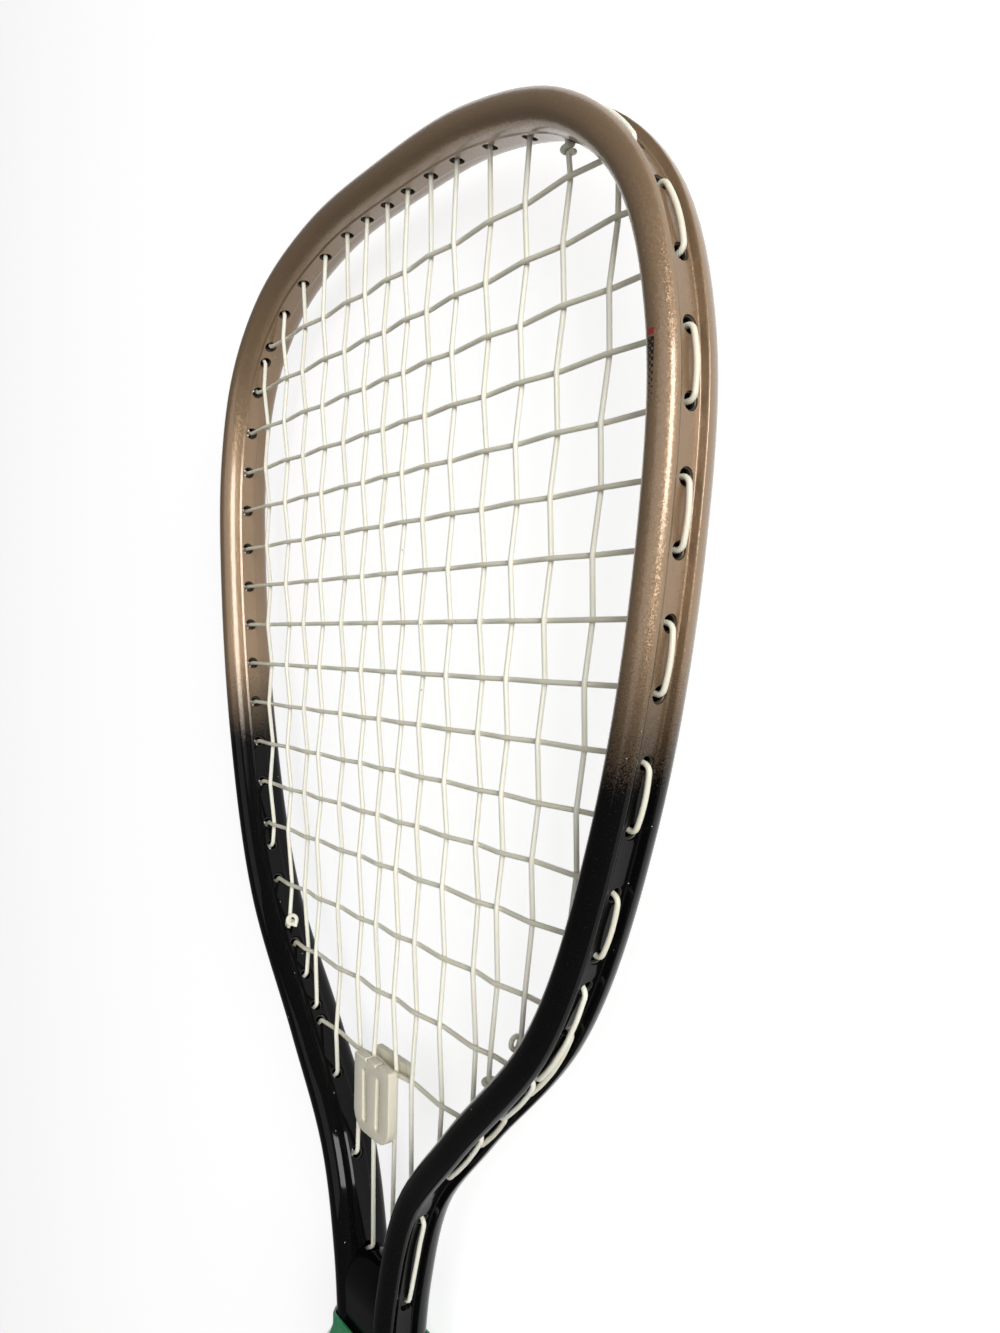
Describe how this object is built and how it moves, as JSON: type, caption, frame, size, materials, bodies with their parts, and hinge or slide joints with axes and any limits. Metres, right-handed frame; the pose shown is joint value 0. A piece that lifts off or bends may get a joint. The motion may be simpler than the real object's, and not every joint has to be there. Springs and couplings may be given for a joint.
{
  "type": "racquetball racket",
  "caption": "Strung teardrop-head racquetball racket with a hollow tube frame, woven strings, a clip-on vibration dampener and a wrapped short handle.",
  "frame": {"origin": "under the middle of the racket as it lies on its back, on the plane under its deepest part, the knob of the butt cap", "axes": "+X across the head, +Y from the butt to the tip of the head, +Z square to the strings, out of the face with the dampener's slots"},
  "size_m": [0.2252, 0.53, 0.0354],
  "materials": {
    "frame_paint": "copper metallic paint over a moulded graphite tube, fading to gloss black at the throat",
    "yoke_paint": "gloss black paint over a moulded graphite bridge",
    "string": "cream multifilament nylon string, 1.3 mm",
    "dampener_rubber": "moulded cream rubber, satin",
    "handle_foam": "moulded rigid foam under the grip",
    "grip_rubber": "ribbed matt black rubber wrap",
    "grip_tape": "thin black finishing tape",
    "collar_rubber": "moulded translucent green rubber, gloss",
    "cap_plastic": "moulded black plastic with a fine grain",
    "staple_steel": "plated steel wire"
  },
  "bodies": {
    "racket": {"frame": "frame_paint", "throat_yoke": "yoke_paint", "main_string": "string", "cross_string": "string", "main_knot_left": "string", "main_knot_right": "string", "cross_knot_top": "string", "cross_knot_foot": "string", "handle_pallet_front": "handle_foam", "handle_pallet_back": "handle_foam", "grip_wrap": "grip_rubber", "finishing_tape": "grip_tape", "grip_collar": "collar_rubber", "butt_cap": "cap_plastic", "butt_staple_front": "staple_steel", "butt_staple_back": "staple_steel"},
    "dampener": {"vibration_dampener": "dampener_rubber"}
  },
  "joints": [
    {"name": "dampener_slide", "type": "slide", "parent": "racket", "child": "dampener", "axis": [0, 1, 0], "range_m": [-0.02, 0]}
  ]
}
